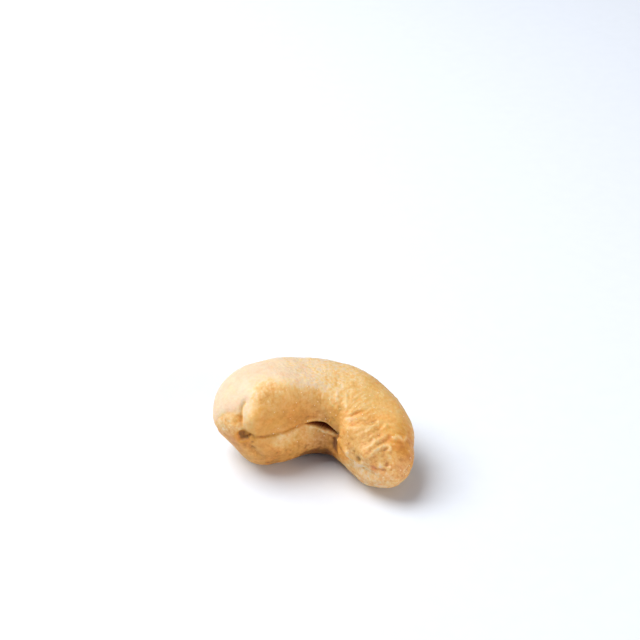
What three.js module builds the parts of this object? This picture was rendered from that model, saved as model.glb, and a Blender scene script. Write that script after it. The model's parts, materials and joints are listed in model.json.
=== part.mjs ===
import * as THREE from "three";
import { mergeVertices } from "three/addons/utils/BufferGeometryUtils.js";

// A roasted cashew kernel that lies on its side, in millimetres: +Z up, +X along its length, its hollow side
// towards -Y. The origin is on the surface that it lies on, under the middle of its box.

// Cross-sections from the germ end, round the bend, to the narrow tip: the control points of smooth
// B-splines. x, y and z are the middle of each, and out, hollow, up and down are its half widths towards the
// back, the hollow side, the top and the underside. The seam between the two seed leaves lies across the
// middles, and roll turns it, in degrees.
const SECTIONS = [
  { name: "germ end", x: -9.2, y: -4.7, z: 7.2, out: 6.2, hollow: 5.0, up: 5.0, down: 6.6, roll: -20 },
  { name: "germ lobe", x: -7.9, y: -0.7, z: 6.6, out: 7.9, hollow: 5.2, up: 7.1, down: 7.1, roll: -12 },
  { name: "shoulder", x: -5.0, y: 2.3, z: 6.6, out: 7.9, hollow: 5.4, up: 6.9, down: 6.3, roll: -4 },
  { name: "bend", x: -0.4, y: 3.8, z: 6.8, out: 6.5, hollow: 4.9, up: 5.9, down: 6.6, roll: 0 },
  { name: "haunch", x: 4.2, y: 3.2, z: 7.2, out: 6.0, hollow: 4.9, up: 4.8, down: 7.5, roll: 0 },
  { name: "limb", x: 7.8, y: -0.4, z: 5.4, out: 5.7, hollow: 5.5, up: 5.2, down: 5, roll: 0 },
  { name: "tip lobe", x: 9.4, y: -4.8, z: 4.9, out: 4.9, hollow: 4.9, up: 4.3, down: 5.2, roll: 0 },
  { name: "tip", x: 10.0, y: -9.9, z: 4.2, out: 4.2, hollow: 4.8, up: 3.8, down: 4.0, roll: 0 },
];
const GERM_END_BLUNTNESS = 4.5; // 2 is as pointed as an ellipse
const TIP_BLUNTNESS = 4.2;
const BACK_FULLNESS = 2.2; // 2 is an ellipse, more is squarer
const HOLLOW_FULLNESS = 3;

// Broad swellings, and hollows where rise is below 0: the middle, how far it reaches and how high it stands.
const SWELLINGS = [
  { name: "flat below the germ", at: [-11.8, -1.2, 2.8], reach: 2.6, rise: -0.8 },
  { name: "flat beside the germ", at: [-11.2, -3.4, 5.6], reach: 1.8, rise: -0.3 },
  { name: "foot of the germ lobe", at: [-6.8, -3.4, 2.2], reach: 2.2, rise: 0.9 },
  { name: "upper lobe beside the germ", at: [-7.4, -4.2, 9.6], reach: 2, rise: 0.55 },
  { name: "back of the germ lobe", at: [-11.6, 3.8, 9.6], reach: 3.4, rise: 0.4 },
  { name: "sunken wall", at: [-0.6, -1.6, 9.6], reach: 2.6, rise: -0.3 },
  { name: "inner elbow", at: [2.4, -2.6, 3.8], reach: 1.6, rise: -0.5 },
  { name: "limb beside the elbow", at: [4, -4.6, 5], reach: 1.9, rise: 0.9 },
  { name: "smooth face at the tip", at: [9.2, -8.6, 6.8], reach: 1.6, rise: -0.2 },
  { name: "rests on its germ lobe", at: [-6.8, 1, 0], reach: 2, rise: 0.5 },
  { name: "rests on its haunch", at: [2.8, 3.4, 0], reach: 1.6, rise: 0.1 },
  { name: "rests on its tip lobe", at: [9.2, -4.4, 0], reach: 1.8, rise: 0.6 },
];

// Creases and ridges in the skin: how high it stands, its half width and the points that it runs through.
const LINES = [
  { name: "germ pit", rise: -1.3, width: 0.6, through: [[-9.3, -4.7, 7.5]] },
  {
    name: "crease up from the germ",
    rise: -0.6,
    width: 0.5,
    through: [[-9.2, -4.5, 8.2], [-9.5, -4, 9], [-9.4, -3.2, 10.2], [-9, -1.9, 11.4]],
  },
  {
    name: "crease down from the germ",
    rise: -0.4,
    width: 0.5,
    through: [[-8.9, -4.8, 6.9], [-7.9, -4.8, 5.5], [-7.2, -4.5, 4.5]],
  },
  {
    name: "crease in the inner elbow",
    rise: -0.7,
    width: 0.6,
    through: [[3, -3.3, 7.2], [2.7, -3, 5.7], [2.7, -3, 4.7], [3, -3.3, 3.7], [3.6, -4, 2.2]],
  },
  {
    name: "wavy ridge",
    rise: 0.45,
    width: 0.55,
    through: [
      [4.6, -5.4, 5.5],
      [5.3, -6.5, 4.6],
      [6.4, -8.1, 5.3],
      [7, -8.1, 6.6],
      [8.3, -7.7, 7.3],
      [9.5, -7.4, 7.4],
      [10.2, -6.5, 7.9],
      [11, -6, 7.9],
      [12.4, -5.3, 7.3],
    ],
  },
  {
    name: "long crease over the limb",
    rise: -0.35,
    width: 0.5,
    through: [[6.6, -6.9, 7.4], [7.8, -7.2, 7.6], [9, -6.6, 7.9], [10.7, -5.6, 8.2]],
  },
  {
    name: "upper crease",
    rise: -0.35,
    width: 0.45,
    through: [[5.5, -4, 9.1], [6.7, -4.1, 9.3], [8.2, -3.9, 9.3]],
  },
  { name: "short crease", rise: -0.25, width: 0.45, through: [[5, -3.1, 9.6], [6.2, -2.9, 9.9]] },
  { name: "lower ridge", rise: 0.3, width: 0.5, through: [[4.1, -4, 8.2], [6, -4.9, 8.6], [7.1, -5.6, 8.5]] },
  { name: "cross ridge", rise: 0.3, width: 0.45, through: [[8.7, -4.5, 9], [7.8, -5.4, 8.6]] },
  { name: "dimple", rise: -0.6, width: 0.5, through: [[5.9, -7.4, 5.6]] },
  {
    name: "crease at the tip",
    rise: -0.5,
    width: 0.45,
    through: [[7.4, -8.9, 5.6], [8.3, -9.4, 5.5], [8.9, -9.6, 5.4], [9.8, -9.5, 5.5]],
  },
  { name: "pit at the tip", rise: -0.4, width: 0.45, through: [[9.6, -9.1, 6]] },
];
const FOLLOWS_SKIN = 0.7; // how far a distance to a crease leaves out its part across the skin

// The seam runs all round. On the hollow side it lies in a valley, and there it gapes for a stretch.
const SEAM_DEPTH = 0.3;
const SEAM_WIDTH = 0.25;
const SEAM_FADE = 3; // on the outside the leaves are grown together for this far at both ends
const VALLEY_DEPTH = 0.45;
const VALLEY_WIDTH = 1.1;
const HOLLOW_SIDE_FROM = 3; // this far across from the middles the hollow side is reached in full
const SPLIT_FROM = 10.6; // along the kernel from the germ end
const SPLIT_TO = 22;
const SPLIT_DEPTH = 3;
const SPLIT_GAP = 0.4;

// Slow unevenness of the whole surface.
const WAVE_HEIGHT = 0.1;
const WAVE_LENGTH = 5;

// Grid of the surface: a box of this many steps, wrapped round the kernel.
const STEPS_ALONG = 58;
const STEPS_ACROSS = 20;
const STEPS_THROUGH = 22;
const SEAM_CROWDING = 1.5; // its lines crowd towards the seam

const UP = new THREE.Vector3(0, 0, 1);

// One value of the cross-sections at a place along them, 0 to 1, by a uniform cubic B-spline that starts and
// ends on the first and the last.
function valueAt(key, t) {
  const place = t * (SECTIONS.length - 1);
  const i = Math.min(Math.floor(place), SECTIONS.length - 2);
  const w = place - i;
  const value = (j) => {
    if (j < 0) return 2 * SECTIONS[0][key] - SECTIONS[1][key];
    if (j >= SECTIONS.length) return 2 * SECTIONS.at(-1)[key] - SECTIONS.at(-2)[key];
    return SECTIONS[j][key];
  };
  return (
    (value(i - 1) * (1 - w) ** 3 +
      value(i) * (3 * w ** 3 - 6 * w ** 2 + 4) +
      value(i + 1) * (-3 * w ** 3 + 3 * w ** 2 + 3 * w + 1) +
      value(i + 2) * w ** 3) /
    6
  );
}

class Spine extends THREE.Curve {
  getPoint(t, target = new THREE.Vector3()) {
    return target.set(valueAt("x", t), valueAt("y", t), valueAt("z", t));
  }
}

const spine = new Spine();
const spineLength = spine.getLength();

// The cross-section at a share of the spine's length: its middle and its axes towards the back and the top.
function sectionAt(share) {
  const t = spine.getUtoTmapping(share);
  const forward = spine.getTangent(t).setZ(0).normalize(); // each cross-section stands upright
  const roll = THREE.MathUtils.degToRad(valueAt("roll", t));
  const back = UP.clone().cross(forward);
  return {
    middle: spine.getPoint(t),
    back: back.clone().multiplyScalar(Math.cos(roll)).addScaledVector(UP, Math.sin(roll)),
    top: UP.clone().multiplyScalar(Math.cos(roll)).addScaledVector(back, -Math.sin(roll)),
    size: Object.fromEntries(["out", "hollow", "up", "down"].map((key) => [key, valueAt(key, t)])),
  };
}

// A point of the box, -1 to 1 each way, moved to the unit sphere with its steps kept even.
function onSphere(x, y, z) {
  return new THREE.Vector3(
    x * Math.sqrt(1 - (y * y) / 2 - (z * z) / 2 + (y * y * z * z) / 3),
    y * Math.sqrt(1 - (z * z) / 2 - (x * x) / 2 + (z * z * x * x) / 3),
    z * Math.sqrt(1 - (x * x) / 2 - (y * y) / 2 + (x * x * y * y) / 3),
  );
}

// Where a box point lies on the smooth kernel: how far along, which way round, and its place.
function onKernel(x, y, z) {
  const unit = onSphere(x, y, Math.sign(z) * Math.abs(z) ** SEAM_CROWDING);
  const around = Math.hypot(unit.y, unit.z);
  const bluntness = unit.x < 0 ? GERM_END_BLUNTNESS : TIP_BLUNTNESS;
  const closing = Math.sqrt(Math.max(0, 1 - Math.abs(unit.x) ** bluntness));
  const share = (1 + unit.x) / 2;
  const { middle, back, top, size } = sectionAt(share);
  let across = 0;
  let through = 0;
  if (around > 1e-9) {
    const c = unit.y / around;
    const s = unit.z / around;
    const fullness = c > 0 ? BACK_FULLNESS : HOLLOW_FULLNESS;
    const full = (Math.abs(c) ** fullness + Math.abs(s) ** fullness) ** (-1 / fullness);
    across = c * full * closing * (c > 0 ? size.out : size.hollow);
    through = s * full * closing * (s > 0 ? size.up : size.down);
  }
  return {
    along: share * spineLength,
    across,
    through,
    point: middle.clone().addScaledVector(back, across).addScaledVector(top, through),
  };
}

const bell = (distance, width) => Math.exp(-((distance / width) ** 2));

// How far a point of the skin is from a line through some points, mostly as measured along the skin.
function distanceTo(line, point, outwards) {
  const corners = line.map((corner) => new THREE.Vector3(...corner));
  const stretches = corners.map((corner, i) => new THREE.Line3(corner, corners[i + 1] ?? corner));
  const offset = new THREE.Vector3();
  return Math.min(
    ...stretches.map((stretch) => {
      const t = stretch.distanceSq() > 0 ? stretch.closestPointToPointParameter(point, true) : 0;
      stretch.at(t, offset).sub(point);
      return offset.addScaledVector(outwards, -FOLLOWS_SKIN * offset.dot(outwards)).length();
    }),
  );
}

// How high the skin stands off the smooth kernel at one of its places.
function reliefAt({ along, across, through, point }, outwards) {
  let rise = 0;
  for (const swelling of SWELLINGS) {
    rise += swelling.rise * bell(point.distanceTo(new THREE.Vector3(...swelling.at)), swelling.reach);
  }
  for (const line of LINES) {
    rise += line.rise * bell(distanceTo(line.through, point, outwards), line.width);
  }
  const { x, y, z } = point.clone().multiplyScalar((2 * Math.PI) / WAVE_LENGTH);
  rise += (WAVE_HEIGHT / 2) * (Math.sin(x + 1.3 * Math.sin(y)) + Math.sin(0.8 * y + 1.1 * Math.sin(z) + 2));
  const hollowSide = THREE.MathUtils.smoothstep(-across, 0, HOLLOW_SIDE_FROM);
  const parted = THREE.MathUtils.smoothstep(Math.min(along, spineLength - along), 0, SEAM_FADE);
  rise -= SEAM_DEPTH * Math.max(parted, hollowSide) * bell(through, SEAM_WIDTH);
  rise -= VALLEY_DEPTH * hollowSide * bell(through, VALLEY_WIDTH);
  return rise - splitDepthAt({ along, across, through });
}

// How deep the split between the seed leaves cuts in there.
function splitDepthAt({ along, across, through }) {
  if (across > 0 || along < SPLIT_FROM || along > SPLIT_TO) return 0;
  const open = Math.sin((Math.PI * (along - SPLIT_FROM)) / (SPLIT_TO - SPLIT_FROM));
  return Math.abs(through) < SPLIT_GAP / 2 ? SPLIT_DEPTH * Math.sqrt(open) : 0;
}

function kernelGeometry() {
  const box = new THREE.BoxGeometry(2, 2, 2, STEPS_ALONG, STEPS_ACROSS, STEPS_THROUGH);
  box.deleteAttribute("normal");
  box.deleteAttribute("uv");
  const geometry = mergeVertices(box);
  const position = geometry.getAttribute("position");
  const places = [];
  for (let i = 0; i < position.count; i++) {
    const place = onKernel(position.getX(i), position.getY(i), position.getZ(i));
    places.push(place);
    position.setXYZ(i, ...place.point.toArray());
  }
  geometry.computeVertexNormals();
  const normal = geometry.getAttribute("normal");
  places.forEach((place, i) => {
    const outwards = new THREE.Vector3().fromBufferAttribute(normal, i);
    const moved = place.point.clone().addScaledVector(outwards, reliefAt(place, outwards));
    position.setXYZ(i, moved.x, moved.y, Math.max(moved.z, 0)); // flat where it rests
  });
  geometry.computeBoundingBox();
  const middle = geometry.boundingBox.getCenter(new THREE.Vector3());
  geometry.translate(-middle.x, -middle.y, 0);
  geometry.computeVertexNormals();
  return geometry;
}

const kernel = new THREE.Mesh(
  kernelGeometry(),
  new THREE.MeshStandardMaterial({ color: 0xe3b778, roughness: 0.55, metalness: 0 }),
);
kernel.name = "kernel";

const cashew = new THREE.Group();
cashew.add(kernel);

export default cashew;
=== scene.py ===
import json
import math
import random

import bpy
import numpy as np
from mathutils import Euler, Matrix, Vector, noise
from mathutils.bvhtree import BVHTree

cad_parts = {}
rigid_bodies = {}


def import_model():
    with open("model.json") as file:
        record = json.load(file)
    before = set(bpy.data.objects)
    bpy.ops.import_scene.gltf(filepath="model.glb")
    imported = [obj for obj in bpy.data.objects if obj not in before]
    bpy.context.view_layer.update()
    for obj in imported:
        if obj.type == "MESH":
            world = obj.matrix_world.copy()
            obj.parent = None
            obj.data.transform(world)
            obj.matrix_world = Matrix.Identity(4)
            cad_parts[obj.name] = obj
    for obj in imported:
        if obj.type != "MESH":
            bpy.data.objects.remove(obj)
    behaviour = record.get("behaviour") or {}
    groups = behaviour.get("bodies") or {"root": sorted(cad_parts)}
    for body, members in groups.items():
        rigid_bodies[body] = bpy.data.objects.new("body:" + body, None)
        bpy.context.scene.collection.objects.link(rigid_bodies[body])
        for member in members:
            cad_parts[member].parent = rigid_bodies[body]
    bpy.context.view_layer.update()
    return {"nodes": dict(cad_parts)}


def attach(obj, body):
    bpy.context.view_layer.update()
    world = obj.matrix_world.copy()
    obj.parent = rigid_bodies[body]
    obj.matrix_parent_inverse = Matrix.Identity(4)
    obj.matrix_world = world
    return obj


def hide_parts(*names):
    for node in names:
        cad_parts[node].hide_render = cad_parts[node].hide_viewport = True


# One roasted cashew kernel on a pale floor, in metres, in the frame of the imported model. The node "kernel"
# gives the form. A finer skin replaces it here, with the creases, wrinkles and pores of a roasted nut, and
# grains of salt lie on that skin.

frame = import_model()

MM = 0.001

# The photograph's camera. The anchor is one point of the nut, with the pixel that shows it.
PHOTO_SIDE = 640
SENSOR = 36 * MM
LENS = 100 * MM
CAMERA_PITCH = math.radians(33)  # below the horizon
CAMERA_DEPTH = 237.7 * MM  # from the camera to the anchor, along the view
ANCHOR = Vector((0, 0, 6.4 * MM))
ANCHOR_PIXEL = (313, 421)

AHEAD = Vector((0, math.cos(CAMERA_PITCH), -math.sin(CAMERA_PITCH)))
RIGHT = Vector((1, 0, 0))
ABOVE = RIGHT.cross(AHEAD)
PIXELS_PER_SLOPE = PHOTO_SIDE * LENS / SENSOR

# The kernel bends round this upright line, in mm, and its skin wrinkles towards it.
BEND_CENTRE = np.array((-0.5, -7, 0))
BEND_RADIUS = 8  # where the wrinkles lie at their spacing: nearer to the line they are closer

# How the node's mesh is made ready, in mm. Its loose corners are merged over a gap. The walls of its split,
# which alone reach into this box, are smoothed to a membrane that closes it. Then the whole is subdivided.
MERGE_GAP = 0.0002
SPLIT_INSIDE = ((-2.2, -0.85, 5.6), (5.6, 2.5, 7.2))
MEMBRANE_PASSES = 80
SUBDIVISIONS = 2

# Where the node's own coarse creases are smoothed before finer ones are carved: how far from the line that
# these pixels show, in mm, and how many passes.
SOFTENED = [
    ("seam beside the germ", 1.2, 14, [(254, 435.5), (266, 432.5), (280, 428), (292, 425), (303, 424)]),
    ("crease up from the germ", 0.9, 6, [(241, 428), (240.5, 416), (244, 402)]),
    ("creases over the limb", 3, 12, [(352, 414), (362, 422), (376, 428), (386, 438), (392, 444)]),
    ("tip", 1.4, 7, [(368, 467), (388, 468)]),
    ("dimple", 0.7, 4, [(356, 456), (359, 461)]),
]
SOFTENING = 0.5  # how far one pass takes a corner towards its neighbours
FACES_CAMERA = 0.1  # skin counts as seen while its normal points less than this along the camera's view

# The split between the seed leaves, by the pixels of its two lips, and how it is carved, in mm.
UPPER_LIP = [(303.5, 424), (308, 422.8), (313, 421.6), (318, 421.2), (323, 421.8), (327, 423.6), (331, 426.6),
             (334, 429.4), (336.4, 432.2), (338, 434.6)]
LOWER_LIP = [(303.5, 424), (308, 425.4), (312, 425.8), (316, 426.6), (320, 428.2), (325, 430.2), (330, 431.8),
             (333, 433.2), (335.6, 435), (338, 436.2)]
SPLIT_DEPTH = 1.6
SPLIT_WALL = 0.14
# The split's inside gets a painted shade, dark brown mixed into the flesh where the lips shade it.
SPLIT_SHADE_DEPTHS = (0, 0.06)  # how far inside the lips its dark begins and is full

# A pit that the photo shows: how deep it is and over how wide a wall, in mm, how much more it is toasted than
# the skin round it, and the pixels of its outline.
HOLLOWS = [
    ("germ pit", 0.55, 0.6, 0.3,
     [(236, 431), (240.4, 428.8), (245.8, 429), (249.6, 432.6), (254.4, 435.4), (250.4, 438.4), (250, 442.6),
      (244, 441.6), (238.4, 443), (234.6, 436)]),
]

# Lines that the photo shows in the skin: how high each stands and its half width, in mm, how much browner it
# is than the skin round it, below 0 paler, and its pixels. In creases that is partly painted shade, and on
# ridges and lips partly painted highlight.
LINES = [
    ("left end of the seam", -0.2, 0.3, 0.25, [(248, 436), (251, 436.4), (255, 436.6)]),
    ("crease up from the germ", -0.3, 0.28, 0.3,
     [(241.5, 430), (240.8, 425), (240.6, 419), (241.2, 411), (243, 405), (245.2, 400)]),
    ("lip right of that crease", 0.12, 0.3, -0.02,
     [(244.6, 426), (243.4, 420), (244.2, 414), (246, 408), (248, 403)]),
    ("recess left of that crease", -0.16, 0.55, 0.32, [(238, 424), (237.4, 420), (238.6, 414)]),
    ("edge of the germ's face", -0.08, 0.25, 0.14,
     [(216.5, 421), (219, 418), (223.6, 415), (229, 413), (233, 412.4), (237, 408.6)]),
    ("wrinkle on the germ's face", -0.1, 0.2, 0.14, [(224.6, 419.4), (226.5, 421.5), (229.3, 425)]),
    ("seam", -0.2, 0.2, 0.22,
     [(253, 436.8), (260, 436.5), (266, 435.8), (271, 434.7), (276, 433.6), (281, 431.6), (286, 430.4),
      (291, 428.4), (297, 426.2), (304, 424.2)]),
    ("seam into the elbow", -0.16, 0.22, 0.2, [(337, 434), (339.2, 436.4), (341, 439.6)]),
    ("fold at the elbow", -0.3, 0.3, 0.32, [(336, 436), (335.2, 439), (335, 443), (335, 448), (335.6, 452)]),
    ("crease down from the germ", -0.16, 0.32, 0.18,
     [(248.5, 443), (250.5, 445.4), (254.3, 450), (257, 453), (260, 456.5), (262, 460)]),
    ("short crease beside it", -0.07, 0.22, 0.12, [(251, 441.4), (253, 442), (255, 443.4)]),
    # Painted highlight: the edges of the lips are made paler where they catch the light.
    ("upper lip's edge", 0.08, 0.14, -0.3,
     [(305, 422), (309, 420.6), (314, 419.3), (319, 419.2), (324, 420.6), (329, 423.4), (334, 427.6)]),
    ("lower lip's edge", 0.1, 0.16, -0.25,
     [(304, 426.2), (309, 426.9), (314, 427.6), (319, 429.4), (325, 431.6), (331, 433.6), (335, 436.4)]),
    ("crease under the lower lip", -0.14, 0.3, 0.1, [(318, 431.5), (324, 434), (330, 436.6), (334, 440)]),
    ("fold above the split", -0.08, 0.22, 0.06, [(306, 417), (310, 416.4), (317, 416.6)]),
    ("shadowed fold above the split", -0.08, 0.25, 0.12, [(325, 418), (331, 418.6), (336, 421)]),
    # Upright streaks over the haunch.
    ("pale streak", 0.05, 0.16, -0.16, [(323, 392), (322.6, 396), (323, 400)]),
    ("second pale streak", 0.06, 0.18, -0.16, [(331, 395), (330.6, 401), (331, 407)]),
    ("third pale streak", 0.05, 0.18, -0.16, [(337.4, 391), (337, 397), (337, 403)]),
    ("fourth pale streak", 0.06, 0.2, -0.18, [(346.5, 392), (346, 400), (346, 406), (346.6, 412)]),
    ("dark streak", -0.06, 0.16, 0.14, [(320.4, 395), (320.4, 401), (321.6, 405)]),
    ("second dark streak", -0.06, 0.16, 0.14, [(328.6, 399), (328.8, 406)]),
    ("third dark streak", -0.06, 0.18, 0.14, [(349, 392), (348.6, 398)]),
    ("fourth dark streak", -0.05, 0.18, 0.12, [(341.6, 396), (341, 402), (341.4, 409)]),
    # The limb.
    ("upper crease", -0.1, 0.28, 0.18, [(349.4, 417.4), (353, 415.2), (358, 412.8), (364, 411.6)]),
    ("ridge over the upper crease", 0.08, 0.26, -0.18,
     [(349.6, 413.6), (353, 411.6), (357, 410.2), (362, 409.4)]),
    ("pale fold under the upper crease", 0.06, 0.26, -0.14,
     [(344, 420), (350, 418.8), (357, 417.6), (365, 417)]),
    ("long crease", -0.09, 0.4, 0.1, [(349, 424.4), (356, 423.6), (363, 422.6), (371, 421.8), (379, 421.4)]),
    ("edge of the long crease", -0.05, 0.14, 0.05, [(359, 421.6), (366, 420.2), (372, 419.4), (378, 420.4)]),
    ("broad pale fold", 0.08, 0.4, -0.16, [(344, 428.4), (350, 428), (358, 427.2), (366, 426.8)]),
    ("pale diagonal fold", 0.13, 0.26, -0.2, [(380.6, 420.4), (377, 423.4), (373.4, 425.8), (367, 429.4)]),
    ("crease right of it", -0.1, 0.27, 0.14, [(384, 422.5), (381, 427), (376.5, 430.6), (371, 433)]),
    ("second diagonal fold", 0.08, 0.22, -0.16, [(388, 423.6), (385.6, 426), (383.6, 429)]),
    ("olive dent", -0.06, 0.3, 0.12, [(389.6, 426.6), (388, 428.4)]),
    ("long diagonal ridge", 0.15, 0.28, -0.22,
     [(389.4, 434), (383, 436.8), (377, 441), (372.6, 445.2), (366.6, 448.6), (361, 451)]),
    ("crease over that ridge", -0.1, 0.28, 0.1, [(380, 434), (374, 438.6), (369, 442.4), (362, 445)]),
    ("deep crease under it", -0.15, 0.36, 0.2,
     [(391.6, 437), (387, 439.6), (383, 441.8), (379, 444), (375.4, 446.8)]),
    ("wavy crest, left", 0.18, 0.32, -0.34, [(346.8, 450.5), (347.8, 453), (349.4, 456), (352, 459.6)]),
    ("wavy crest, foot", 0.18, 0.28, -0.34, [(353, 460.6), (355.8, 462.8), (359.4, 465), (365, 464.4)]),
    ("wavy crest, middle", 0.22, 0.24, -0.42,
     [(368, 457), (372, 454.6), (375, 450.8), (378, 448.8), (381.6, 447.6), (385.8, 445.8), (390, 446.4),
      (390.2, 449.6), (386.4, 452.2)]),
    ("wavy crest, right", 0.18, 0.24, -0.42,
     [(391.6, 440), (394, 438), (398, 437), (400.6, 438.6), (402.8, 440.6), (404.4, 439), (406.6, 437.4)]),
    ("crease in the crest", -0.14, 0.2, 0.25, [(380.6, 450.6), (384, 449.6), (387.6, 448.6)]),
    ("thin fold under the right crest", 0.05, 0.15, -0.1,
     [(390, 444.8), (395.6, 444.8), (400.4, 444), (405, 445.4)]),
    ("crease over that fold", -0.05, 0.24, 0.08, [(394, 442.4), (399, 441.6), (404, 443)]),
    ("small crease by the elbow", -0.1, 0.24, 0.2, [(353.5, 450.5), (354.5, 453)]),
    ("nick by the elbow", -0.08, 0.22, 0.15, [(349, 443.5), (348.5, 446), (347, 449)]),
    ("dimple", -0.22, 0.42, 0.2, [(356.6, 456.6), (358, 459), (359.4, 461)]),
    ("crease at the tip", -0.16, 0.22, 0.34,
     [(369.8, 467), (372.5, 468.3), (376, 469.4), (381, 470.6), (388, 471.4)]),
    ("bead above it", 0.14, 0.3, -0.2, [(378.5, 467.4), (380.2, 465.8), (382, 464)]),
    ("pit at the tip", -0.24, 0.34, 0.28, [(384.8, 463.4), (386.8, 464.6), (387.4, 467)]),
    ("bead right of the pit", 0.12, 0.24, -0.25, [(390, 466.6), (390, 470)]),
]
LINE_STEP = 0.08  # between the points that a line is carved by, in mm
LINE_ENDS = 0.22  # the share of a line over which each end fades out
LINE_ENDS_PAST = 0.06  # by what share the fading runs past the ends, where a line still shows a little
LINE_MARGIN = 3  # how many half widths from a line the skin still moves
WANDER = 0.16  # how far a line wanders off its course, in mm
WANDER_LENGTH = 0.9  # over what length it wanders, in mm
WANDER_SEED = 5  # not 0, which would take the seed from the clock

# Broader changes of form: the pixel, how far it reaches and how it moves the skin, in mm.
PUSHES = [
    ("elbow", (339, 443), 0.9, (-0.22, 0, 0)),
    ("front of the foot", (266, 464), 1.9, (0, 0.5, 0)),
    ("front of the leaf", (286, 459), 1.5, (0, 0.3, 0)),
    ("lower edge of the leaf by the elbow", (326, 453), 1.5, (0, 0.2, 0.3)),
    ("lower leaf under the seam", (284, 437), 1.2, (0, -0.1, 0.08)),
]

# How far the flesh is toasted, 0 cream to 1 brown, how ruddy it is, -1 olive to 1 orange pink, and how
# scuffed, 0 to 1, which turns it greyer and speckled: the pixel and how far that tone reaches, in mm. Between
# them it blends, and far from them it is the tone of the back.
BACK_TONE = (0.46, 0, 0.3)
TONES = [
    ("crown of the germ lobe", (246, 377), 3.4, (0, 0.25, 0)),
    ("crown, middle", (270, 372), 3, (0.05, 0.2, 0)),
    ("left side", (224, 402), 2.2, (0.02, 0.3, 0)),
    ("germ's face", (226, 424), 1.1, (0.54, 0, 0.6)),
    ("left side, low", (219, 430), 1.4, (0.54, 0.4, 0.3)),
    ("left rim", (235, 445), 1.6, (0.72, 0.2, 0)),
    ("top, middle", (302, 368), 2.6, (0.08, 0.2, 0.65)),
    ("top, right", (340, 376), 3, (0.32, 0, 0.4)),
    # Painted shade: the shoulder is made browner where the crown turns down into the wall's shade.
    ("shoulder", (267, 390), 1.6, (0.84, -0.3, 0.7)),
    ("wall, upper", (290, 405), 2, (0.65, -0.3, 0)),
    ("wall, low", (275, 420), 2, (0.66, -0.3, 0)),
    ("wall, right", (318, 408), 1.8, (0.62, -0.25, 0.3)),
    ("over the split", (306, 416), 1.2, (0.84, -0.3, 0)),
    ("wall over the seam", (289, 424), 0.9, (0.8, -0.2, 0)),
    ("over the elbow", (335, 417), 0.9, (0.76, -0.6, 0.1)),
    ("haunch", (368, 390), 3, (0.47, -0.3, 0.1)),
    ("haunch, right", (398, 408), 2, (0.42, 0.1, 0)),
    ("limb, left", (350, 420), 1.2, (0.56, 0.35, 0.1)),
    ("limb, middle", (361, 434), 1.6, (0.64, -0.5, 0.4)),
    ("limb, right", (398, 426), 1.6, (0.52, -0.1, 0)),
    # Partly toast and partly a painted glow: the thin edges of the limb are made more orange where light
    # shines through them.
    ("limb, orange edge", (408, 446), 1.7, (0.76, 0.35, 0)),
    ("limb, orange edge by the elbow", (342, 450), 0.9, (0.66, 0, 0)),
    ("plate at the tip", (378, 458), 1.3, (0.64, -0.2, 0.5)),
    ("tip", (378, 477), 1.8, (0.42, 0.35, 0.7)),
    ("tip, right", (402, 468), 1.2, (0.66, 0.3, 0.5)),
    ("lower leaf, top face", (288, 437), 1.4, (0.28, 0, 0.28)),
    ("lower leaf, middle", (310, 436), 1.2, (0.46, 0.1, 0.3)),
    ("lower leaf, side", (295, 446.5), 1.4, (0.76, -0.4, 0.15)),
    ("lower leaf, mauve", (317, 441), 1.1, (0.68, 0.3, 0.4)),
    # Painted shade: the leaf by the elbow, the leaf's lower edge, the germ's foot and the foot's underside
    # are made browner where the limb's and the floor's shade falls.
    ("lower leaf by the elbow", (331, 446), 1, (0.8, -0.2, 0.1)),
    ("lower edge of the leaf", (310, 453.5), 1, (1.15, 0, 0)),
    ("lower edge by the elbow", (330, 455), 0.9, (1, 0, 0)),
    ("germ's foot", (252, 454), 1.8, (0.71, -0.35, 0.12)),
    ("underside of the foot", (270, 461), 1.4, (0.86, -0.2, 0.1)),
]
REACH_TO_BACK = 0.02  # how soon the back's tone takes over

# The underside of the leaf in the bay is browner, a painted shade: the pixel and how far that reaches, in mm,
# how steeply skin has to face down for it, as the z of its normal, and how much browner the shade paints it.
BAY_PIXEL = (312, 453)
BAY_REACH = 4.5
BAY_FACES_DOWN = (-0.3, -0.85)
BAY_PAINTED_SHADE = 0.48

# Creases and hollows on the sides that the photo doesn't show, in mm.
HIDDEN_CREASES = 22
CREASE_SEED = 3
CREASE_LENGTHS = (1.2, 4.5)
CREASE_DEPTHS = (0.03, 0.1)
CREASE_WIDTHS = (0.16, 0.34)
CREASE_TOAST = 0.12
CREASE_TILT = 0.45  # how far a crease leans from upright, as a share
CREASE_FACES_AWAY = 0.15  # a crease starts where the normal points more than this along the camera's view
CREASE_FACES_DOWN = -0.4  # and where the normal's z is above this
HOLLOW_SPACING = 4.5
HOLLOW_DEPTH = 0.22
HOLLOW_FACES_AWAY = (0.2, 0.8)  # where hollows begin and are full, as the share that points along the view
HIDDEN_BELOW = (9, 6)  # the heights between which the back comes to be hidden

# Partly toast and partly painted shade: the seam and creases are made browner by how sharply they bend in.
# How sharply the node's own skin bends inwards where it begins to be browner and where it is brownest, per
# mm, and how much browner it gets.
CREVICE_BENDS = (0.5, 2.5)
CREVICE_TOAST_AND_SHADE = 0.3

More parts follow.
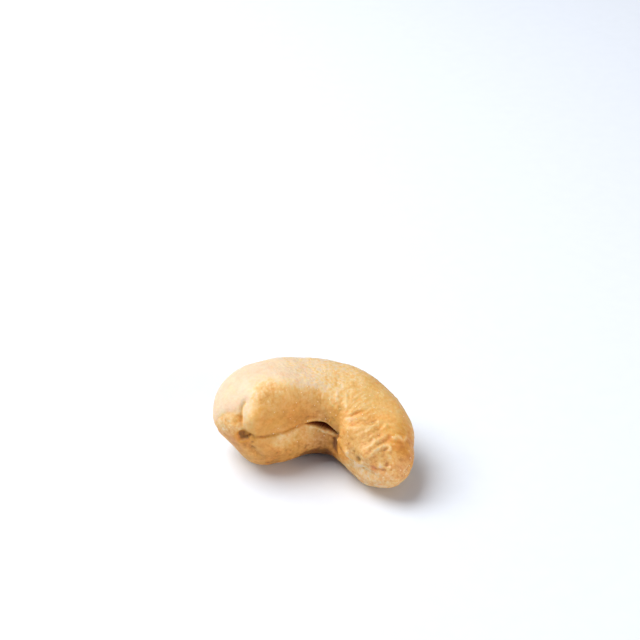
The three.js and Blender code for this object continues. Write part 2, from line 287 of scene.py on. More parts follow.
# Small spots that the photo shows: the pixel, the half width in mm, and how much more toasted, ruddy and
# scuffed they are than the skin round them.
SPOTS = [
    ("olive spot by the germ", (234.3, 420.6), 0.28, (0.2, -1, 0)),
    ("brown spot by the germ", (237.4, 416), 0.5, (0.22, 0, 0)),
    ("yellow spot by the germ", (225.4, 434), 0.4, (0.2, -0.5, 0)),
    ("amber of the germ pit", (242, 436), 0.7, (0.04, -0.1, -0.6)),
    ("dark speck in the germ pit", (240.4, 435.4), 0.2, (0.3, 0, 0)),
    ("second dark speck in the germ pit", (246.4, 438.4), 0.18, (0.3, 0, 0)),
    ("brown under the germ pit", (244, 443), 0.45, (0.2, 0, 0)),
    ("speck under the germ", (252.6, 442), 0.18, (0.25, 0, 0)),
    ("speck on the lower leaf", (285.7, 452), 0.2, (0.25, 0, 0)),
    ("second speck on the lower leaf", (291, 451), 0.2, (0.25, 0, 0)),
    ("olive speck on the lower leaf", (296, 437.6), 0.26, (0.25, -0.8, 0)),
    ("brown spot on the lower leaf", (305.6, 447), 0.28, (0.32, -0.3, 0)),
    ("second brown spot on the lower leaf", (308, 445), 0.18, (0.3, 0, 0)),
    ("pale spot on the lower leaf", (320.5, 439), 0.15, (-0.25, 0, 0)),
    ("olive spot under the split", (319, 430.8), 0.24, (0.2, -1, 0)),
    ("olive lip over the split", (331, 424), 0.5, (0.15, -0.7, 0)),
    ("speck on the wall", (301.5, 406), 0.11, (0.45, 0, 0)),
    ("second speck on the wall", (309, 417), 0.16, (0.12, 0, 0)),
    ("third speck on the wall", (303.5, 395), 0.1, (0.35, 0, 0)),
    ("brown patch on the wall", (297, 417.6), 0.7, (0.12, 0, 0)),
    ("olive spot beside the limb", (340.4, 408.4), 0.4, (0.22, -1, 0)),
    ("pale patch on top", (322, 386), 0.7, (-0.2, -0.4, 0.4)),
    ("pale spot by the elbow", (338, 439.6), 0.24, (-0.35, 0, 0)),
    ("pink patch on the limb", (350.5, 418.8), 0.5, (-0.1, 0.5, 0.2)),
    ("mauve patch by the wavy crest", (350.6, 452), 0.4, (-0.1, 0.4, 0.6)),
    ("red nick at the tip", (373.2, 468.2), 0.36, (0.34, 1.6, -0.8)),
    ("olive dent on the limb", (388.8, 427.6), 0.35, (0.15, -0.8, 0)),
    ("olive foot of the dimple", (358.6, 459.4), 0.32, (0.35, -1, -0.3)),
    ("orange end of the deep crease", (390.6, 437.6), 0.4, (0.15, 0.5, 0)),
    ("pale edge of the limb", (390.8, 459), 0.18, (-0.45, 0, 0.2)),
]

# The flesh from cream to brown.
FLESH_TONES = [(0, "#e0c9aa"), (0.16, "#e5c99e"), (0.28, "#e6c388"), (0.44, "#e3b268"), (0.62, "#dd9d47"),
               (0.82, "#c57f2c"), (1, "#8a5018")]

# What is mixed into those: orange pink or olive by how ruddy the flesh is, grey by how scuffed it is, and the
# dark brown of painted shade in the split's inside.
ORANGE_PINK = "#dd8f58"
OLIVE = "#bf9a48"
GREY = "#cbb08c"
SPLIT_SHADE_BROWN = "#803208"
GREY_OF_SCUFFS = 0.36
HUE_CHANGES = 1.8  # how far the tints move the hue about its mean

# How far apart the flesh's patterns lie, in mm. Real pores are finer. They are drawn this coarse to show.
BLOTCH_SPACING = 2.4
TINT_SPACING = 1.1
MOTTLE_SPACING = 0.75
FLECK_SPACING = 0.5
GRAIN_SPACING = 0.36
PORE_SPACING = 0.3
STREAK_SPACINGS = (0.3, 1.4, 1.4)  # across the wrinkles, and twice along them
TINT_CUT = 4  # where tints and flecks are cut from 4D noise, so that they follow none of the others
FLECK_CUT = 9

# How much each pattern changes the toast. Where there are two amounts, the first is for scuffed skin alone
# and the second for all skin.
BLOTCHES = 0.32
MOTTLES = (0.85, 0.34)
GRAINS = (1.5, 0.16)
PALE_FLECKS = (-0.85, -0.15)
STREAKS = 0.45
FLECKS_FROM = 0.54  # the noise at which a fleck begins, that at which it is full, and how strong it is then
FLECKS_FULL = 0.66
FLECK_STRENGTH = 0.3

# How deep the pores and the grain are in mm, how much of that the pores are and how strongly both show, and
# the skin's roughness, with how much the grain and the mottling change it.
PORE_DEPTH = 0.06
PORES = 0.5
PORES_SHOW = 0.8
ROUGHNESS = 0.36
ROUGHNESS_OF_GRAIN = 0.3
ROUGHNESS_OF_MOTTLE = (0.3, -0.15)

# Salt: the side of a grain in mm, its width, height, bevel and lift as shares of that side, and the normal's
# z under which no grain stays.
SALT_GRAINS = 140
SALT_SIZES = (0.08, 0.17)
SALT_WIDTHS = (0.7, 1)
SALT_HEIGHTS = (0.4, 0.7)
SALT_BEVEL = 0.14
SALT_LIFT = 0.05
SALT_FACES_DOWN = -0.1
SALT_SEED = 7
SALT_ON_LOBE = 0.25  # how likely a grain stays on the germ lobe
LOBE_TO_HAUNCH = (-8, 2)  # the x between which that rises to certain, in mm
SALT_COLOURS = ("#f6e2bc", "#eacb94")  # clear and hazy
HAZE_SPACING = 0.15  # in mm
HAZE_ROUGHNESS = 0.6

# Fine relief all over, in mm.
WRINKLE_SPACING = 0.5
WRINKLE_LENGTH = 2
WRINKLE_HEIGHT = 0.07
WRINKLE_MIDDLE = 0.25  # how much of a wrinkle stands above the skin
FINER_WRINKLES = 2.1  # how much closer the finer wrinkles are, and how high as a share
FINER_HEIGHT = 0.5
DIMPLE_SPACING = 0.42
DIMPLE_HEIGHT = 0.07
DENT_SPACING = 1.3
DENT_HEIGHT = 0.08
# Painted shade and highlight: hollows of the fine relief are made browner and its crests paler.
RELIEF_SHADE_AND_HIGHLIGHT = 0.8  # how much paler a crest is, and how much browner a hollow, per mm
ROUGH_IF_SCUFFED = 0.7  # how strong dimples and dents are on scuffed skin, over what they are on all skin
ROUGH_EVERYWHERE = 0.4

# How wrinkled the skin is, from 0 to 1. It is most so on the limb, which begins between these x in mm and
# gets smoother between these y, towards its root. It is less so on top, where the normal's z and the x are
# these.
LIMB_BEGINS = (2, 6)
LIMB_ROOT = (-4, 2)
ROOT_SMOOTHER = 0.6
TOP_FACES_UP = (-0.2, 0.6)
TOP_BEGINS = (-6, 0)
WRINKLED_ON_TOP = 0.25
WRINKLED_EVERYWHERE = 0.15

# The lights: where each stands and how wide it is, in metres, its power in watts and its colour.
LIGHTS = [
    ("softbox", (-0.23, 0.08, 0.36), 0.38, 2.8, "#ffffff"),
    ("fill", (0.3, -0.3, 0.14), 0.25, 1.0, "#fff4e6"),
]
TENT_COLOUR = "#e0eaff"
TENT_STRENGTH = 0.25
FLOOR_SIDE = 4  # in metres
FLOOR_TEXTURE = 2.5  # the spacing of its faint texture, in mm
FLOOR_COLOURS = ("#e6ebf2", "#e2e7ee")
FLOOR_ROUGHNESS = 0.9


def ray_through(pixel):
    """Which way a pixel of the photo looks, per metre of depth."""
    across = float(pixel[0] - PHOTO_SIDE / 2) / PIXELS_PER_SLOPE
    up = float(PHOTO_SIDE / 2 - pixel[1]) / PIXELS_PER_SLOPE
    return AHEAD + RIGHT * across + ABOVE * up


def camera_place():
    """Where the camera stands, so that the anchor shows at its pixel."""
    return ANCHOR - ray_through(ANCHOR_PIXEL) * CAMERA_DEPTH


def pixels_of(points):
    """The pixels of the photo that show some points, given in mm."""
    seen = points * MM - np.array(camera_place())
    depth = seen @ np.array(AHEAD)
    across = seen @ np.array(RIGHT) / depth
    up = seen @ np.array(ABOVE) / depth
    return PHOTO_SIDE / 2 + PIXELS_PER_SLOPE * np.stack((across, -up), axis=1)


def add_camera():
    bpy.ops.object.camera_add(location=camera_place(), rotation=(math.pi / 2 - CAMERA_PITCH, 0, 0))
    camera = bpy.context.object
    camera.data.sensor_width = SENSOR / MM
    camera.data.lens = LENS / MM
    camera.data.clip_start = 0.01
    bpy.context.scene.camera = camera


def linear(colour):
    """An sRGB hex colour as linear RGBA."""
    shares = [int(colour[i : i + 2], 16) / 255 for i in (1, 3, 5)]
    return [s / 12.92 if s <= 0.04045 else ((s + 0.055) / 1.055) ** 2.4 for s in shares] + [1]


def coordinates(mesh):
    """The vertices of a mesh in mm."""
    flat = np.empty(len(mesh.vertices) * 3, np.float32)
    mesh.vertices.foreach_get("co", flat)
    return flat.reshape(-1, 3).astype(float) / MM


def facings(mesh):
    """The normals of a mesh's vertices."""
    flat = np.empty(len(mesh.vertices) * 3, np.float32)
    mesh.vertex_normals.foreach_get("vector", flat)
    return flat.reshape(-1, 3).astype(float)


def move_to(mesh, points):
    mesh.vertices.foreach_set("co", (points * MM).astype(np.float32).ravel())
    mesh.update()


def select_only(mesh, chosen):
    """Selects vertices of a mesh that is in object mode with nothing selected."""
    mesh.vertices.foreach_set("select", chosen)


def distance_to_line(pixels, line):
    """How far some pixels are from the nearest point of a pixel line, in mm at the nut."""
    points = curve_through(line, 1)
    gaps = np.linalg.norm(pixels[:, None] - points[None], axis=2).min(axis=1)
    return gaps * CAMERA_DEPTH / PIXELS_PER_SLOPE / MM


def kernel_blank():
    """The node's own form as one smooth mesh, fine enough to carve, with its split closed."""
    blank = bpy.data.objects.new("cashew_kernel", frame["nodes"]["kernel"].data.copy())
    bpy.context.scene.collection.objects.link(blank)
    bpy.ops.object.select_all(action="DESELECT")
    blank.select_set(True)
    bpy.context.view_layer.objects.active = blank
    bpy.ops.object.mode_set(mode="EDIT")
    bpy.ops.mesh.select_mode(type="VERT")
    bpy.ops.mesh.select_all(action="SELECT")
    bpy.ops.mesh.remove_doubles(threshold=MERGE_GAP * MM)
    bpy.ops.mesh.tris_convert_to_quads(face_threshold=math.pi, shape_threshold=math.pi)
    bpy.ops.mesh.select_all(action="DESELECT")
    bpy.ops.object.mode_set(mode="OBJECT")
    # The walls of the split draw together to a membrane over it.
    low, high = SPLIT_INSIDE
    points = coordinates(blank.data)
    inside = ((points > low) & (points < high)).all(axis=1)
    select_only(blank.data, inside)
    bpy.ops.object.mode_set(mode="EDIT")
    bpy.ops.mesh.select_more()
    bpy.ops.mesh.vertices_smooth(factor=1, repeat=MEMBRANE_PASSES)
    bpy.ops.object.mode_set(mode="OBJECT")
    # Coarse creases make way for the finer ones that are carved later.
    for _, reach, passes, line in SOFTENED:
        points = coordinates(blank.data)
        towards_camera = facings(blank.data) @ np.array(AHEAD) < FACES_CAMERA
        near = distance_to_line(pixels_of(points), line) < reach
        bpy.ops.object.mode_set(mode="EDIT")
        bpy.ops.mesh.select_all(action="DESELECT")
        bpy.ops.object.mode_set(mode="OBJECT")
        select_only(blank.data, near & towards_camera)
        bpy.ops.object.mode_set(mode="EDIT")
        bpy.ops.mesh.vertices_smooth(factor=SOFTENING, repeat=passes)
        bpy.ops.object.mode_set(mode="OBJECT")
    bpy.ops.object.modifier_add(type="SUBSURF")
    finer = blank.modifiers[-1]
    finer.levels = finer.render_levels = SUBDIVISIONS
    bpy.ops.object.modifier_apply(modifier=finer.name)
    bpy.ops.object.shade_smooth()
    return blank


def curve_through(corners, step):
    """Points about a step apart on a smooth curve through some corners."""
    corners = np.array(corners, float)
    padded = np.vstack((2 * corners[0] - corners[1], corners, 2 * corners[-1] - corners[-2]))
    made = []
    for a, b, c, d in zip(padded, padded[1:], padded[2:], padded[3:]):
        count = max(1, round(np.linalg.norm(c - b) / step))
        for t in np.arange(count)[:, None] / count:
            made.append(0.5 * (2 * b + (c - a) * t + (2 * a - 5 * b + 4 * c - d) * t**2
                               + (3 * b - a - 3 * c + d) * t**3))
    return np.vstack(made + [corners[-1:]])


def smooth_step(low, high, value):
    share = np.clip((value - low) / (high - low), 0, 1)
    return share * share * (3 - 2 * share)


def depth_within(outline, pixels):
    """How far inside a closed pixel outline some pixels lie, in mm at the nut, and 0 outside it."""
    enclosed = np.zeros(len(pixels), bool)
    nearest = np.full(len(pixels), np.inf)
    for start, end in zip(outline, np.roll(outline, -1, axis=0)):
        run = end - start
        offset = pixels - start
        share = np.clip(offset @ run / max(run @ run, 1e-9), 0, 1)
        nearest = np.minimum(nearest, np.linalg.norm(offset - share[:, None] * run, axis=1))
        if run[1]:
            spans = (start[1] > pixels[:, 1]) != (end[1] > pixels[:, 1])
            enclosed ^= spans & (offset[:, 0] < offset[:, 1] * run[0] / run[1])
    return np.where(enclosed, nearest, 0) * CAMERA_DEPTH / PIXELS_PER_SLOPE / MM


class Skin:
    """The skin while it is carved, in mm: its points, which way each faces, how far it is to rise and how it
    is pushed, its tone, how wrinkled it is and how far it lies in the split, the last two from 0 to 1."""

    def __init__(self, blank):
        self.mesh = blank.data
        self.points = coordinates(self.mesh)
        self.facing = facings(self.mesh)
        self.pixels = pixels_of(self.points)
        self.rise = np.zeros(len(self.points))
        self.pushed = np.zeros((len(self.points), 3))
        self.tone = np.zeros((len(self.points), 3))
        self.wrinkled = np.zeros(len(self.points))
        self.inside = np.zeros(len(self.points))
        # Lines, pits and spots are measured to these points, so that their edges wander.
        noise.seed_set(WANDER_SEED)
        self.warped = self.points + WANDER * np.array(
            [noise.noise_vector(Vector(p / WANDER_LENGTH)) for p in self.points]
        )
        polygons = [tuple(p.vertices) for p in self.mesh.polygons]
        self.tree = BVHTree.FromPolygons([Vector(p) for p in self.points], polygons)

    def seen_at(self, pixel):
        """The point of the skin that the photo shows at a pixel."""
        return self.tree.ray_cast(camera_place() / MM, ray_through(pixel))[0]

    def carve_line(self, rise, width, toast, pixels):
        """A crease, or a ridge where rise is above 0."""
        step = LINE_STEP * MM * PIXELS_PER_SLOPE / CAMERA_DEPTH
        hits = [self.seen_at(p) for p in curve_through(pixels, step)]
        self.carve_through(rise, width, toast, np.array([h for h in hits if h is not None]))

    def carve_through(self, rise, width, toast, line):
        """The same through points of the skin."""
        margin = LINE_MARGIN * width + WANDER
        near = np.flatnonzero(
            ((self.points > line.min(0) - margin) & (self.points < line.max(0) + margin)).all(axis=1)
        )
        distances = np.linalg.norm(self.warped[near, None] - line[None], axis=2)
        nearest = distances.argmin(axis=1)
        share = nearest / max(1, len(line) - 1)
        ends = smooth_step(0, LINE_ENDS, share + LINE_ENDS_PAST)
        ends *= smooth_step(0, LINE_ENDS, 1 + LINE_ENDS_PAST - share)
        bell = np.exp(-((distances[np.arange(len(near)), nearest] / width) ** 2)) * ends
        self.rise[near] += rise * bell
        self.tone[near, 0] += toast * bell

    def hollow(self, depth, wall, toast, outline):
        """A pit with an outline that the photo shows."""
        within = depth_within(np.array(outline, float), pixels_of(self.warped))
        within[self.facing @ np.array(AHEAD) > 0] = 0
        share = smooth_step(0, wall, within)
        self.rise -= depth * share
        self.tone[:, 0] += toast * share

    def push(self, pixel, reach, move):
        """A broad change of form round the point that the photo shows at a pixel."""
        middle = np.array(self.seen_at(pixel))
        weight = np.exp(-((np.linalg.norm(self.points - middle, axis=1) / reach) ** 2))
        self.pushed += weight[:, None] * np.array(move)

    def colour_all(self):
        """Blends the tones over the skin, and adds the spots."""
        weights = np.full(len(self.points), REACH_TO_BACK)
        blended = weights[:, None] * np.array(BACK_TONE)
        for _, pixel, reach, tone in TONES:
            middle = np.array(self.seen_at(pixel))
            weight = np.exp(-((np.linalg.norm(self.points - middle, axis=1) / reach) ** 2))
            weights += weight
            blended += weight[:, None] * np.array(tone)
        self.tone += blended / weights[:, None]
        # Painted shade: the underside of the leaf in the bay is made browner.
        gaps = np.linalg.norm(self.points - np.array(self.seen_at(BAY_PIXEL)), axis=1)
        shade_in_bay = smooth_step(*BAY_FACES_DOWN, self.facing[:, 2]) * np.exp(-((gaps / BAY_REACH) ** 2))
        self.tone[:, 0] += BAY_PAINTED_SHADE * shade_in_bay
        for _, pixel, reach, tone in SPOTS:
            middle = np.array(self.seen_at(pixel))
            weight = np.exp(-((np.linalg.norm(self.warped - middle, axis=1) / reach) ** 2))
            self.tone += weight[:, None] * np.array(tone)

    def shape_hidden_sides(self):
        """Short upright creases and broad, shallow hollows where the photo doesn't look."""
        draw = random.Random(CREASE_SEED)
        away = self.facing @ np.array(AHEAD) > CREASE_FACES_AWAY
        starts = np.flatnonzero(away & (self.facing[:, 2] > CREASE_FACES_DOWN))
        for _ in range(HIDDEN_CREASES):
            start = draw.choice(starts)
            leans = [draw.uniform(-1, 1) * CREASE_TILT for _ in range(2)]
            heading = Vector((*leans, 1)) * LINE_STEP
            line = [Vector(self.points[start])]
            for _ in range(round(draw.uniform(*CREASE_LENGTHS) / LINE_STEP)):
                line.append(self.tree.find_nearest(line[-1] + heading)[0])
            depth = draw.uniform(*CREASE_DEPTHS)
            width = draw.uniform(*CREASE_WIDTHS)
            self.carve_through(-depth, width, CREASE_TOAST, np.array(line))
        outwards = (self.points - BEND_CENTRE) * (1, 1, 0)
        outwards /= np.linalg.norm(outwards, axis=1)[:, None]
        hollows = np.array([noise.noise(Vector(p / HOLLOW_SPACING)) for p in self.points])
        away = smooth_step(*HOLLOW_FACES_AWAY, outwards @ np.array(AHEAD))
        hollows *= away * smooth_step(*HIDDEN_BELOW, self.points[:, 2])
        self.pushed += outwards * (HOLLOW_DEPTH * hollows)[:, None]

    def toast_and_shade_crevices(self):
        """Browner flesh down in the seam and the creases that the node has, partly toast and partly painted
        shade.
        """
        ends = np.empty(len(self.mesh.edges) * 2, np.int32)
        self.mesh.edges.foreach_get("vertices", ends)
        bends = np.zeros(len(self.points))
        edges = np.zeros(len(self.points))
        for start, end in (ends.reshape(-1, 2).T, ends.reshape(-1, 2).T[::-1]):
            offset = self.points[end] - self.points[start]
            bend = (offset * self.facing[start]).sum(axis=1) / (offset**2).sum(axis=1)
            np.add.at(bends, start, 2 * bend)
            np.add.at(edges, start, 1)
        self.tone[:, 0] += CREVICE_TOAST_AND_SHADE * smooth_step(*CREVICE_BENDS, bends / edges)

    def carve_split(self):
        """The stretch where the seed leaves gape, cut in away from the bend's centre."""
        outline = np.array(UPPER_LIP + LOWER_LIP[-2:0:-1], float)
        depth = depth_within(outline, self.pixels)
        depth[self.facing @ np.array(AHEAD) > 0] = 0
        inwards = (self.points - BEND_CENTRE) * (1, 1, 0)
        inwards /= np.linalg.norm(inwards, axis=1)[:, None]
        self.points += inwards * (SPLIT_DEPTH * smooth_step(0, SPLIT_WALL, depth))[:, None]
        # How deep each place lies in the split, which sets the dark brown of the painted shade there.
        self.inside = np.maximum(self.inside, smooth_step(*SPLIT_SHADE_DEPTHS, depth))

    def wrinkle(self):
        """Fine wrinkles towards the bend's centre, and dimples all over."""
        # How far round the bend, how far from its centre and how high. The material's streaks follow it too.
        outwards = self.points - BEND_CENTRE
        around = np.arctan2(outwards[:, 0], outwards[:, 1]) * BEND_RADIUS
        self.folds = np.stack((around, np.hypot(outwards[:, 0], outwards[:, 1]), self.points[:, 2]), axis=1)
        across_folds = self.folds / (WRINKLE_SPACING, WRINKLE_LENGTH, WRINKLE_LENGTH)
        on_limb = smooth_step(*LIMB_BEGINS, self.points[:, 0])
        on_limb *= 1 - ROOT_SMOOTHER * smooth_step(*LIMB_ROOT, self.points[:, 1])
        on_top = smooth_step(*TOP_FACES_UP, self.facing[:, 2]) * smooth_step(*TOP_BEGINS, self.points[:, 0])
        most = np.maximum(on_limb, WRINKLED_ON_TOP * on_top)
        self.wrinkled = WRINKLED_EVERYWHERE + (1 - WRINKLED_EVERYWHERE) * most
        rough = ROUGH_EVERYWHERE + ROUGH_IF_SCUFFED * self.tone[:, 2]
        for i, (place, across) in enumerate(zip(self.points, across_folds)):
            height = WRINKLE_HEIGHT * self.wrinkled[i]
            relief = height * (WRINKLE_MIDDLE - abs(noise.noise(Vector(across))))
            relief += FINER_HEIGHT * height * noise.noise(Vector(across * FINER_WRINKLES))
            relief += DIMPLE_HEIGHT * rough[i] * noise.noise(Vector(place / DIMPLE_SPACING))
            relief += DENT_HEIGHT * rough[i] * noise.noise(Vector(place / DENT_SPACING))
            self.rise[i] += relief
            # Painted shade in the hollows and painted highlight on the crests.
            self.tone[i, 0] -= RELIEF_SHADE_AND_HIGHLIGHT * relief

    def apply(self):
        self.points += self.facing * self.rise[:, None] + self.pushed
        self.carve_split()
        self.points[:, 2] = np.maximum(self.points[:, 2], 0)
        move_to(self.mesh, self.points)
        for name, values in (("wrinkled", self.wrinkled), ("inside", self.inside)):
            attribute = self.mesh.attributes.new(name, "FLOAT", "POINT")
            attribute.data.foreach_set("value", values.astype(np.float32))
        for name, values in (("tone", self.tone), ("folds", self.folds)):
            attribute = self.mesh.attributes.new(name, "FLOAT_VECTOR", "POINT")
            attribute.data.foreach_set("vector", values.astype(np.float32).ravel())


def add_node(tree, kind, inputs=None, **settings):
    """A shader node with its settings, and its inputs as values or as links from other nodes' outputs."""
    made = tree.nodes.new("ShaderNode" + kind)
    for name, value in settings.items():
        setattr(made, name, value)
    for name, value in (inputs or {}).items():
        if isinstance(value, bpy.types.NodeSocket):
            tree.links.new(value, made.inputs[name])
        else:
            made.inputs[name].default_value = value
    return made


def new_material(name):
    """A material, its node tree and its shader."""
    material = bpy.data.materials.new(name)
    material.use_nodes = True
    return material, material.node_tree, material.node_tree.nodes["Principled BSDF"]


def cashew_flesh():
    """Cashew flesh roasted in oil: cream where it stayed pale, golden to brown where it toasted, with a soft
    waxy sheen, light that enters the skin a little, and grain and pores too small to be carved."""
    material, tree, shader = new_material("oil-roasted cashew flesh")
    place = add_node(tree, "TexCoord").outputs["Object"]
    in_mm = add_node(tree, "Mapping", {"Vector": place, "Scale": (1 / MM,) * 3}).outputs[0]
    blotches, mottle, grain = (
        add_node(tree, "TexNoise", {"Vector": in_mm, "Scale": 1 / spacing, "Detail": detail}).outputs["Fac"]
        for spacing, detail in ((BLOTCH_SPACING, 3), (MOTTLE_SPACING, 4), (GRAIN_SPACING, 3))
    )
    tints = add_node(tree, "TexNoise", {"Vector": in_mm, "Scale": 1 / TINT_SPACING, "Detail": 3,
                                        "W": TINT_CUT}, noise_dimensions="4D").outputs["Fac"]
    folds = add_node(tree, "Attribute", attribute_name="folds").outputs["Vector"]
    spread = [1 / s for s in STREAK_SPACINGS]
    along_folds = add_node(tree, "Mapping", {"Vector": folds, "Scale": spread}).outputs[0]
    streaks = add_node(tree, "TexNoise", {"Vector": along_folds, "Scale": 1, "Detail": 3}).outputs["Fac"]

    # How toasted each place is, from its tone and the patterns over it.
    tone = add_node(tree, "Attribute", attribute_name="tone").outputs["Vector"]
    toasted, ruddy, scuffed = add_node(tree, "SeparateXYZ", {"Vector": tone}).outputs
    wrinkled = add_node(tree, "Attribute", attribute_name="wrinkled").outputs["Fac"]
    streaky = add_node(tree, "Math", {0: wrinkled, 1: STREAKS}, operation="MULTIPLY").outputs[0]
    flecks = add_node(tree, "TexNoise", {"Vector": in_mm, "Scale": 1 / FLECK_SPACING, "Detail": 2,
                                         "W": FLECK_CUT}, noise_dimensions="4D").outputs["Fac"]
    flecked = add_node(tree, "MapRange", {"Value": flecks, "From Min": FLECKS_FROM, "From Max": FLECKS_FULL,
                                          "To Max": FLECK_STRENGTH}).outputs[0]
    mottled, speckled, paler = (
        add_node(tree, "Math", {0: scuffed, 1: share, 2: least}, operation="MULTIPLY_ADD").outputs[0]
        for share, least in (MOTTLES, GRAINS, PALE_FLECKS)
    )
    browned = toasted
    for pattern, amount in ((blotches, BLOTCHES), (mottle, mottled), (streaks, streaky), (grain, speckled)):
        shift = add_node(tree, "Math", {0: pattern, 1: 0.5}, operation="SUBTRACT").outputs[0]
        shifted = add_node(tree, "Math", {0: shift, 1: amount, 2: browned}, operation="MULTIPLY_ADD")
        browned = shifted.outputs[0]
    browned = add_node(tree, "Math", {0: flecked, 1: paler, 2: browned}, operation="MULTIPLY_ADD").outputs[0]
    tones = add_node(tree, "ValToRGB", {"Fac": browned})
    ramp = tones.color_ramp
    for at, colour in FLESH_TONES:
        stop = ramp.elements[0] if at == 0 else ramp.elements[-1] if at == 1 else ramp.elements.new(at)
        stop.color = linear(colour)

    # The tints, and the painted shade in the split.
    hue = add_node(tree, "Math", {0: tints, 1: HUE_CHANGES, 2: -1}, operation="MULTIPLY_ADD").outputs[0]
    reddened = add_node(tree, "Math", {0: hue, 1: ruddy}, operation="ADD").outputs[0]
    orange, olive, grey = (
        add_node(tree, "Math", {0: value, 1: factor}, operation="MULTIPLY", use_clamp=True).outputs[0]
        for value, factor in ((reddened, 0.5), (reddened, -0.5), (scuffed, GREY_OF_SCUFFS))
    )
    coloured = tones.outputs[0]
    inside = add_node(tree, "Attribute", attribute_name="inside").outputs["Fac"]
    # The last mix is the split's painted shade: dark brown where the skin lies deep inside it.
    for share, colour in ((orange, ORANGE_PINK), (olive, OLIVE), (grey, GREY), (inside, SPLIT_SHADE_BROWN)):
        mixed = add_node(tree, "Mix", {0: share, 6: coloured, 7: linear(colour)}, data_type="RGBA")
        coloured = mixed.outputs[2]
    tree.links.new(coloured, shader.inputs["Base Color"])

    # Pores, grain and gloss.
    pores = add_node(tree, "TexVoronoi", {"Vector": in_mm, "Scale": 1 / PORE_SPACING}).outputs["Distance"]
    relief = add_node(tree, "Math", {0: pores, 1: PORES, 2: grain}, operation="MULTIPLY_ADD").outputs[0]
    bump = add_node(tree, "Bump", {"Height": relief, "Strength": PORES_SHOW, "Distance": PORE_DEPTH * MM})
    tree.links.new(bump.outputs[0], shader.inputs["Normal"])
    sheen, uneven = (
        add_node(tree, "Math", {0: pattern, 1: share, 2: least}, operation="MULTIPLY_ADD").outputs[0]
        for pattern, share, least in ((grain, ROUGHNESS_OF_GRAIN, ROUGHNESS), (mottle, *ROUGHNESS_OF_MOTTLE))
    )
    rough = add_node(tree, "Math", {0: sheen, 1: uneven}, operation="ADD").outputs[0]
    tree.links.new(rough, shader.inputs["Roughness"])
    shader.inputs["IOR"].default_value = 1.46
    shader.inputs["Subsurface Weight"].default_value = 0.35
    shader.inputs["Subsurface Radius"].default_value = (1, 0.45, 0.2)
    shader.inputs["Subsurface Scale"].default_value = 0.7 * MM
    return material


def salt_crystals():
    """Fine table salt: clear grains with scratched, milky faces, which take the colour of the oily skin under
    them."""
    material, tree, shader = new_material("fine table salt")
    place = add_node(tree, "TexCoord").outputs["Object"]
    in_mm = add_node(tree, "Mapping", {"Vector": place, "Scale": (1 / MM,) * 3}).outputs[0]
    haze = add_node(tree, "TexNoise", {"Vector": in_mm, "Scale": 1 / HAZE_SPACING}).outputs["Fac"]
    clear, hazy = map(linear, SALT_COLOURS)
    white = add_node(tree, "Mix", {0: haze, 6: clear, 7: hazy}, data_type="RGBA")
    tree.links.new(white.outputs[2], shader.inputs["Base Color"])
    rough = add_node(tree, "Math", {0: haze, 1: HAZE_ROUGHNESS}, operation="MULTIPLY").outputs[0]
    tree.links.new(rough, shader.inputs["Roughness"])
    shader.inputs["IOR"].default_value = 1.54
    return material


def add_salt(skin):
    """Fine grains on the upper and the side faces of the skin, each lying flat and sunk in a little."""
    draw = random.Random(SALT_SEED)
    points = coordinates(skin.mesh)
    facing = facings(skin.mesh)
    bpy.ops.object.select_all(action="DESELECT")
    bpy.ops.mesh.primitive_cube_add(size=1)
    pattern = bpy.context.object
    bpy.ops.object.mode_set(mode="EDIT")
    bpy.ops.mesh.select_all(action="SELECT")
    bpy.ops.mesh.bevel(offset=SALT_BEVEL, segments=1, affect="EDGES")
    bpy.ops.object.mode_set(mode="OBJECT")
    bpy.ops.object.shade_smooth()
    grains = []
    while len(grains) < SALT_GRAINS:
        i = draw.randrange(len(points))
        side = draw.uniform(*SALT_SIZES)
        spin = Euler((0, 0, draw.uniform(0, 2 * math.pi)))
        if facing[i][2] < SALT_FACES_DOWN or skin.inside[i] > 0 or draw.random() > salted_at(points[i]):
            continue
        middle = Vector(points[i] + facing[i] * side * SALT_LIFT) * MM
        turn = Vector(facing[i]).to_track_quat("Z", "Y") @ spin.to_quaternion()
        size = Vector((side, side * draw.uniform(*SALT_WIDTHS), side * draw.uniform(*SALT_HEIGHTS))) * MM
        grain = pattern.copy()
        grain.data = pattern.data.copy()
        grain.data.transform(Matrix.LocRotScale(middle, turn, size))
        bpy.context.scene.collection.objects.link(grain)
        grains.append(grain)
    bpy.data.objects.remove(pattern)
    bpy.ops.object.select_all(action="DESELECT")
    for grain in grains:
        grain.select_set(True)
    bpy.context.view_layer.objects.active = grains[0]
    bpy.ops.object.join()
    salt = bpy.context.object
    salt.name = "salt_grains"
    salt.data.materials.append(salt_crystals())
    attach(salt, "root")


def salted_at(point):
    """How likely a grain stays at a point: less on the smooth germ lobe than on the haunch and the tip."""
    return SALT_ON_LOBE + (1 - SALT_ON_LOBE) * smooth_step(*LOBE_TO_HAUNCH, point[0])


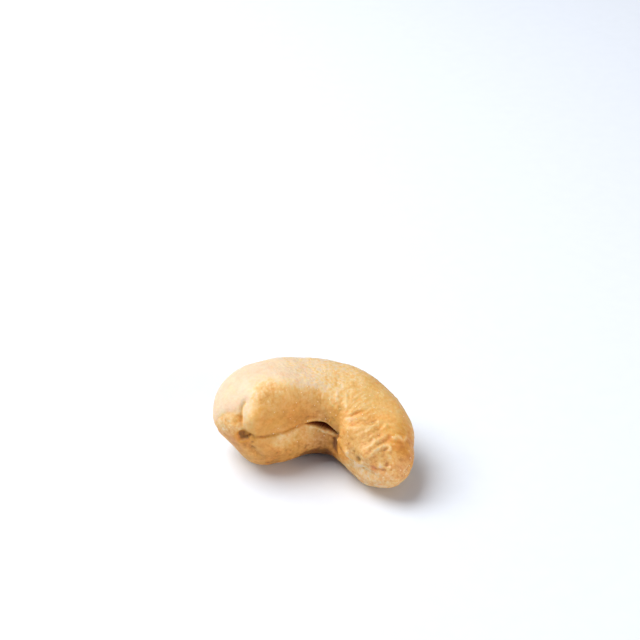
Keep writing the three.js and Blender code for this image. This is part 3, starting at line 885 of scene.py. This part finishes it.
def add_floor():
    """A table top of matt white laminate, with hardly a texture, that takes the nut's shadow."""
    bpy.ops.mesh.primitive_plane_add(size=FLOOR_SIDE, location=(0, 0, 0))
    floor = bpy.context.object
    floor.name = "floor"
    material, tree, shader = new_material("matt white laminate")
    place = add_node(tree, "TexCoord").outputs["Object"]
    texture = add_node(tree, "TexNoise", {"Vector": place, "Scale": 1 / (FLOOR_TEXTURE * MM)}).outputs["Fac"]
    paler, darker = map(linear, FLOOR_COLOURS)
    white = add_node(tree, "Mix", {0: texture, 6: paler, 7: darker}, data_type="RGBA")
    tree.links.new(white.outputs[2], shader.inputs["Base Color"])
    shader.inputs["Roughness"].default_value = FLOOR_ROUGHNESS
    floor.data.materials.append(material)


def add_light(name, place, size, power, colour):
    bpy.ops.object.light_add(type="AREA", location=place)
    light = bpy.context.object
    light.name = name
    light.data.size = size
    light.data.energy = power
    light.data.color = linear(colour)[:3]
    light.visible_camera = False
    light.rotation_euler = (-Vector(place)).to_track_quat("-Z", "Y").to_euler()


def add_surroundings():
    """Even, slightly cool light from all round, as in a light tent."""
    world = bpy.data.worlds.new("light tent")
    bpy.context.scene.world = world
    world.use_nodes = True
    world.node_tree.nodes["Background"].inputs["Color"].default_value = linear(TENT_COLOUR)
    world.node_tree.nodes["Background"].inputs["Strength"].default_value = TENT_STRENGTH


add_camera()
kernel = kernel_blank()
skin = Skin(kernel)
for _, rise, width, toast, pixels in LINES:
    skin.carve_line(rise, width, toast, pixels)
for _, depth, wall, toast, outline in HOLLOWS:
    skin.hollow(depth, wall, toast, outline)
for _, pixel, reach, move in PUSHES:
    skin.push(pixel, reach, move)
skin.shape_hidden_sides()
skin.toast_and_shade_crevices()
skin.colour_all()
skin.wrinkle()
skin.apply()
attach(kernel, "root")
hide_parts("kernel")
kernel.data.materials.clear()
kernel.data.materials.append(cashew_flesh())
add_salt(skin)
add_floor()
for light in LIGHTS:
    add_light(*light)
add_surroundings()
bpy.context.scene.view_settings.view_transform = "Standard"
